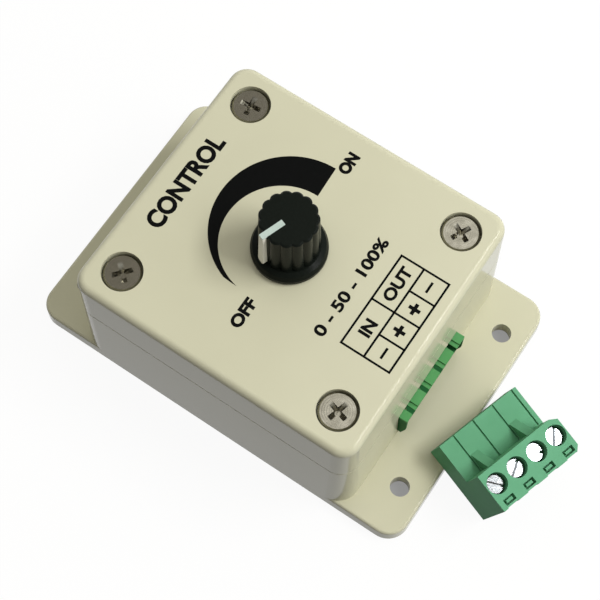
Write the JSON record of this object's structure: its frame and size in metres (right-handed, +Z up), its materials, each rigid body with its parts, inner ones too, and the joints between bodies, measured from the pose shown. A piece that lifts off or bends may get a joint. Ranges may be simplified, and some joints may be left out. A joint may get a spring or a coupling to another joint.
{
  "type": "led dimmer",
  "caption": "LED dimmer: beige moulded case with fixing ears and corner screws, lobed black knob, green terminal socket in the end wall and its screw plug lying against the ear.",
  "frame": {"origin": "centre of the case's flat underside, midway between the ear holes", "axes": "+Z up through the lid, +X towards the end wall with the terminal socket"},
  "size_m": [0.1076, 0.0586, 0.0481],
  "materials": {
    "case_plastic": "gloss moulded beige",
    "knob_plastic": "satin black",
    "pointer_white": "flat white",
    "connector_green": "semi-gloss green",
    "plated_steel": "nickel plated",
    "tinned_contact": "tinned",
    "board": "matt green laminate",
    "black_package": "matt black",
    "capacitor_can": "sleeved can",
    "pot_brown": "matt brown"
  },
  "bodies": {
    "case": {"base_box": "case_plastic", "lid": "case_plastic", "lid_screws": "plated_steel", "circuit_board": "board", "board_screws": "plated_steel", "terminal_header": "connector_green", "header_pins": "tinned_contact", "pot_housing": "pot_brown", "pot_bushing": "plated_steel", "pot_terminals": "tinned_contact", "power_transistor": "black_package", "controller_chip": "black_package", "filter_capacitor": "capacitor_can", "flyback_diode": "black_package", "resistors": "black_package", "plug_housing": "connector_green", "plug_contacts": "tinned_contact"},
    "knob": {"knob": "knob_plastic", "knob_pointer": "pointer_white", "pot_shaft": "plated_steel"},
    "screw_1": {"plug_screw_1": "plated_steel"},
    "clamp_1": {"plug_clamp_1": "plated_steel"},
    "screw_2": {"plug_screw_2": "plated_steel"},
    "clamp_2": {"plug_clamp_2": "plated_steel"},
    "screw_3": {"plug_screw_3": "plated_steel"},
    "clamp_3": {"plug_clamp_3": "plated_steel"},
    "screw_4": {"plug_screw_4": "plated_steel"},
    "clamp_4": {"plug_clamp_4": "plated_steel"}
  },
  "joints": [
    {"name": "knob_turn", "type": "hinge", "parent": "case", "child": "knob", "pos_m": [-0.00077, 0.00012, 0.0345], "axis": [0, 0, 1], "range_deg": [-220, 80]},
    {"name": "screw_turn_1", "type": "hinge", "parent": "case", "child": "screw_1", "pos_m": [0.05364, -0.01145, 0.01289], "axis": [0.1929, 0, 0.9812], "range_deg": [-1440, 0]},
    {"name": "clamp_rise_1", "type": "slide", "parent": "case", "child": "clamp_1", "axis": [0.1929, 0, 0.9812], "range_m": [0, 0.0018]},
    {"name": "screw_turn_2", "type": "hinge", "parent": "case", "child": "screw_2", "pos_m": [0.05513, -0.0066, 0.0126], "axis": [0.1929, 0, 0.9812], "range_deg": [-1440, 0]},
    {"name": "clamp_rise_2", "type": "slide", "parent": "case", "child": "clamp_2", "axis": [0.1929, 0, 0.9812], "range_m": [0, 0.0018]},
    {"name": "screw_turn_3", "type": "hinge", "parent": "case", "child": "screw_3", "pos_m": [0.05662, -0.00176, 0.0123], "axis": [0.1929, 0, 0.9812], "range_deg": [-1440, 0]},
    {"name": "clamp_rise_3", "type": "slide", "parent": "case", "child": "clamp_3", "axis": [0.1929, 0, 0.9812], "range_m": [0, 0.0018]},
    {"name": "screw_turn_4", "type": "hinge", "parent": "case", "child": "screw_4", "pos_m": [0.05811, 0.00309, 0.01201], "axis": [0.1929, 0, 0.9812], "range_deg": [-1440, 0]},
    {"name": "clamp_rise_4", "type": "slide", "parent": "case", "child": "clamp_4", "axis": [0.1929, 0, 0.9812], "range_m": [0, 0.0018]}
  ],
  "couplings": [
    {"joint": "screw_turn_1", "follows": "clamp_rise_1", "rad_per_m": -13963},
    {"joint": "screw_turn_2", "follows": "clamp_rise_2", "rad_per_m": -13963},
    {"joint": "screw_turn_3", "follows": "clamp_rise_3", "rad_per_m": -13963},
    {"joint": "screw_turn_4", "follows": "clamp_rise_4", "rad_per_m": -13963}
  ]
}
